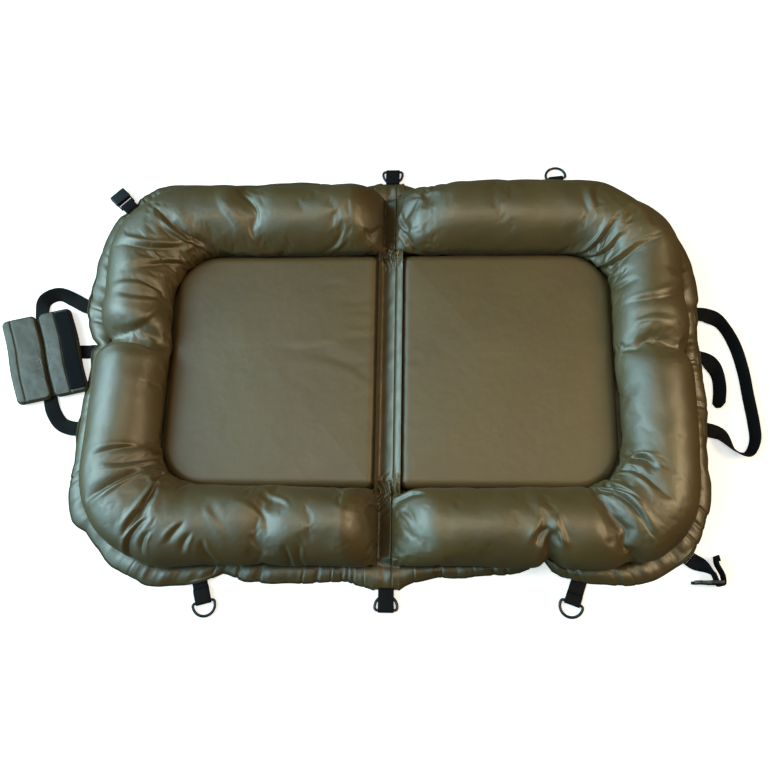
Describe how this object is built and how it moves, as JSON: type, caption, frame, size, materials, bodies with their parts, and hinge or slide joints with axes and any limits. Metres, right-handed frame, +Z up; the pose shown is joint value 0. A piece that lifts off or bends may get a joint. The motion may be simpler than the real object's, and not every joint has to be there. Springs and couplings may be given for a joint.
{
  "type": "unhooking mat",
  "caption": "Padded carp unhooking mat in two halves that fold together, with stuffed bolsters, centre pads, webbing handles, peg rings and a side-release buckle.",
  "frame": {"origin": "on the ground under the middle of the fold line, on the fold strip's flat underside", "axes": "+X along the mat's length to its right half, +Y across it to the rear, +Z up"},
  "size_m": [1.2879, 0.8087, 0.1065],
  "materials": {
    "coated_nylon": "satin",
    "pad_nylon": "satin",
    "binding_tape": "matte",
    "black_webbing": "matte",
    "black_plastic": "satin",
    "foam": "matte",
    "polystyrene_beads": "matte",
    "hook_and_loop": "matte"
  },
  "bodies": {
    "right_half": {"ground_sheet_right": "coated_nylon", "edge_binding_right": "binding_tape", "bolster_cover_right": "coated_nylon", "bolster_fill_right": "polystyrene_beads", "pad_cover_right": "pad_nylon", "pad_foam_right": "foam", "fold_strip": "coated_nylon", "ring_tab_front_right": "black_webbing", "ring_tab_rear_right": "black_webbing", "ring_tab_centre_front": "black_webbing", "ring_tab_centre_rear": "black_webbing", "right_handle_seat_rear": "black_webbing", "right_handle_seat_front": "black_webbing", "right_tail_seat": "black_webbing", "buckle_strap_seat": "black_webbing"},
    "left_half": {"ground_sheet_left": "coated_nylon", "edge_binding_left": "binding_tape", "bolster_cover_left": "coated_nylon", "bolster_fill_left": "polystyrene_beads", "pad_cover_left": "pad_nylon", "pad_foam_left": "foam", "ring_tab_front_left": "black_webbing", "left_handle_seat_rear": "black_webbing", "left_handle_seat_front": "black_webbing", "mid_strap_left": "black_webbing", "buckle_socket_tab": "black_webbing"},
    "left_handle": {"left_handle_web": "black_webbing", "wrap_inner_panel": "pad_nylon", "wrap_spine": "pad_nylon", "hook_strip": "hook_and_loop"},
    "wrap_flap": {"wrap_outer_panel": "pad_nylon", "loop_strip": "hook_and_loop"},
    "right_handle": {"right_handle_web": "black_webbing"},
    "right_tail": {"right_tail_web": "black_webbing"},
    "ring_front_left": {"d_ring_front_left": "black_plastic"},
    "ring_front_right": {"d_ring_front_right": "black_plastic"},
    "ring_rear_right": {"d_ring_rear_right": "black_plastic"},
    "ring_centre_front": {"d_ring_centre_front": "black_plastic"},
    "ring_centre_rear": {"d_ring_centre_rear": "black_plastic"},
    "buckle_socket": {"buckle_female": "black_plastic"},
    "buckle_strap": {"buckle_strap_web": "black_webbing"},
    "buckle_plug": {"buckle_male": "black_plastic"}
  },
  "joints": [
    {"name": "fold", "type": "hinge", "parent": "right_half", "child": "left_half", "pos_m": [0, 0, 0.0405], "axis": [0, 1, 0], "range_deg": [0, 180], "deforming": ["bolster_cover_left", "bolster_cover_right", "bolster_fill_left", "bolster_fill_right", "fold_strip"]},
    {"name": "left_handle_swing", "type": "hinge", "parent": "left_half", "child": "left_handle", "pos_m": [-0.5264, 0, 0.0041], "axis": [0, -1, 0], "range_deg": [-85, 0]},
    {"name": "wrap_flap_fold", "type": "hinge", "parent": "left_handle", "child": "wrap_flap", "pos_m": [-0.606, 0.027, 0.0145], "axis": [0.225, -0.9744, 0], "range_deg": [-175, 0]},
    {"name": "right_handle_swing", "type": "hinge", "parent": "right_half", "child": "right_handle", "pos_m": [0.5264, 0, 0.0041], "axis": [0, 1, 0], "range_deg": [-90, 0]},
    {"name": "right_tail_swing", "type": "hinge", "parent": "right_half", "child": "right_tail", "pos_m": [0.5264, 0, 0.0041], "axis": [0, 1, 0], "range_deg": [-90, 0]},
    {"name": "ring_front_left_swing", "type": "hinge", "parent": "left_half", "child": "ring_front_left", "pos_m": [-0.29175, -0.38793, 0.00435], "axis": [0.9659, 0.2588, 0], "range_deg": [-150, 0]},
    {"name": "ring_front_right_swing", "type": "hinge", "parent": "right_half", "child": "ring_front_right", "pos_m": [0.29131, -0.38151, 0.00435], "axis": [0.9397, -0.342, 0], "range_deg": [-150, 0]},
    {"name": "ring_rear_right_swing", "type": "hinge", "parent": "right_half", "child": "ring_rear_right", "pos_m": [0.29815, 0.37188, 0.00435], "axis": [-0.9945, -0.1045, 0], "range_deg": [-150, 0]},
    {"name": "ring_centre_front_swing", "type": "hinge", "parent": "right_half", "child": "ring_centre_front", "pos_m": [0, -0.39695, 0.00435], "axis": [1, 0, 0], "range_deg": [-175, 0]},
    {"name": "ring_centre_rear_swing", "type": "hinge", "parent": "right_half", "child": "ring_centre_rear", "pos_m": [0, 0.38895, 0.00435], "axis": [-1, 0, 0], "range_deg": [-175, 0]},
    {"name": "buckle_socket_swing", "type": "hinge", "parent": "left_half", "child": "buckle_socket", "pos_m": [-0.49258, 0.32658, 0.0058], "axis": [-0.7071, -0.7071, 0], "range_deg": [-120, 0]},
    {"name": "buckle_strap_swing", "type": "hinge", "parent": "right_half", "child": "buckle_strap", "pos_m": [0.47766, -0.31166, 0.0041], "axis": [0.7071, 0.7071, 0], "range_deg": [-90, 0]},
    {"name": "buckle_plug_turn", "type": "hinge", "parent": "buckle_strap", "child": "buckle_plug", "pos_m": [0.518, -0.349, 0.0154], "axis": [0, 0, 1], "range_deg": [0, 135]}
  ]
}
